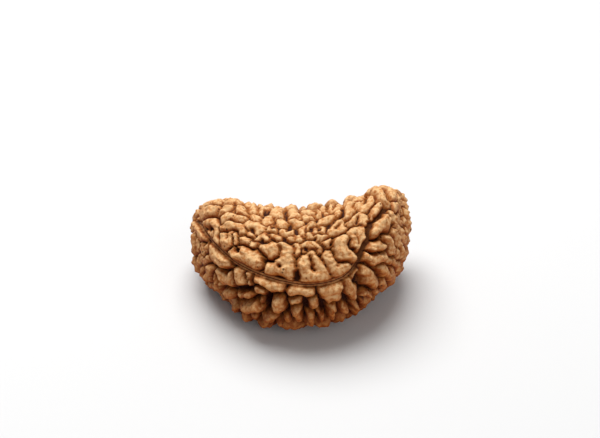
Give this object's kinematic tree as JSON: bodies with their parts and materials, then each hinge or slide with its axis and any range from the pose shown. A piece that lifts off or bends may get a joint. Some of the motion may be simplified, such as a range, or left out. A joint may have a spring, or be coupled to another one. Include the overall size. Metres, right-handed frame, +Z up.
{
  "type": "rudraksha seed",
  "caption": "half-moon rudraksha seed, one stony piece with puffy nodules, deep furrows and a suture from horn to horn, for a pendant or prayer beads",
  "frame": {"origin": "on the surface it rests on, under the middle of its outline", "axes": "+X along the seed from the thin horn to the thick one, +Y from the outer curve to the hollow one, +Z up from the flank it lies on"},
  "size_m": [0.0306, 0.0224, 0.0158],
  "materials": {
    "seed": "satin"
  },
  "bodies": {
    "root": {"seed": "seed"}
  },
  "joints": []
}
